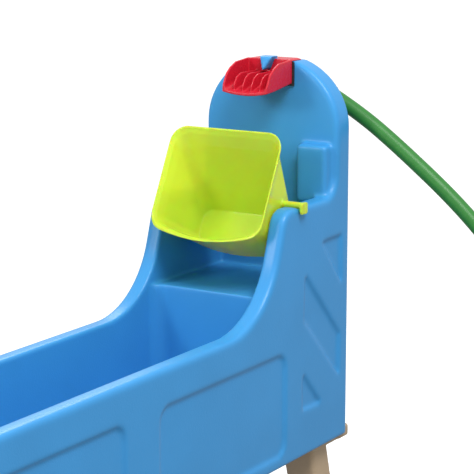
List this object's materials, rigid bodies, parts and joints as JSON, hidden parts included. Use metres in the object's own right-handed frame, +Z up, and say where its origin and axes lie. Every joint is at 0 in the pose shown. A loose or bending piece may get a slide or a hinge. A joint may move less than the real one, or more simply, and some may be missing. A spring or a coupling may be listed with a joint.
{
  "type": "sand and water table",
  "caption": "Long blue sand and water table on splayed legs, with an arched tower, a red spout fed by a garden hose and a lime tipping bucket on pivots.",
  "frame": {"origin": "on the floor, under the middle of the table's own box, the free hose left out", "axes": "+X from the sand basin towards the tower, +Y towards the far long side, +Z up"},
  "size_m": [1.3089, 0.7086, 0.891],
  "materials": {
    "blue_plastic": "rotomoulded polyethylene, satin, light blue",
    "red_plastic": "gloss red moulding",
    "lime_plastic": "translucent lime green moulding",
    "tan_plastic": "satin tan moulding",
    "black_plastic": "satin black moulding",
    "black_rubber": "matt black rubber",
    "green_hose": "satin green vinyl hose",
    "brass": "machined brass",
    "steel": "zinc-plated steel"
  },
  "bodies": {
    "table": {"table_body": "blue_plastic", "spout": "red_plastic", "spout_gasket": "black_rubber", "spout_screws": "steel", "leg_tower_near": "tan_plastic", "leg_tower_far": "tan_plastic", "leg_sand_near": "tan_plastic", "leg_sand_far": "tan_plastic", "leg_screws": "steel", "leg_washers": "steel", "brace_tower_end": "tan_plastic", "brace_sand_end": "tan_plastic", "brace_screws": "steel", "inlet_elbow": "black_plastic", "inlet_gasket": "black_rubber", "inlet_screws": "steel", "inlet_washer": "black_rubber", "hose_male_coupling": "brass", "hose_ferrule_near": "brass", "garden_hose": "green_hose", "hose_coil": "green_hose", "hose_ferrule_far": "brass", "hose_tap_coupling": "brass", "coil_ties": "black_rubber"},
    "bucket": {"bucket": "lime_plastic"},
    "swivel_nut": {"inlet_swivel_nut": "brass"},
    "water_plug": {"water_drain_plug": "red_plastic", "water_drain_gasket": "black_rubber"},
    "sand_plug": {"sand_drain_plug": "red_plastic", "sand_drain_gasket": "black_rubber"}
  },
  "joints": [
    {"name": "bucket_tip", "type": "hinge", "parent": "table", "child": "bucket", "pos_m": [0.4345, 0, 0.6728], "axis": [0, 1, 0], "range_deg": [-21, 63]},
    {"name": "inlet_nut_turn", "type": "hinge", "parent": "table", "child": "swivel_nut", "pos_m": [0.6355, 0, 0.857], "axis": [0, -0.8957, -0.4446], "continuous": true},
    {"name": "water_plug_lift", "type": "slide", "parent": "table", "child": "water_plug", "axis": [0, 0, 1], "range_m": [0, 0.03]},
    {"name": "sand_plug_lift", "type": "slide", "parent": "table", "child": "sand_plug", "axis": [0, 0, 1], "range_m": [0, 0.03]}
  ]
}
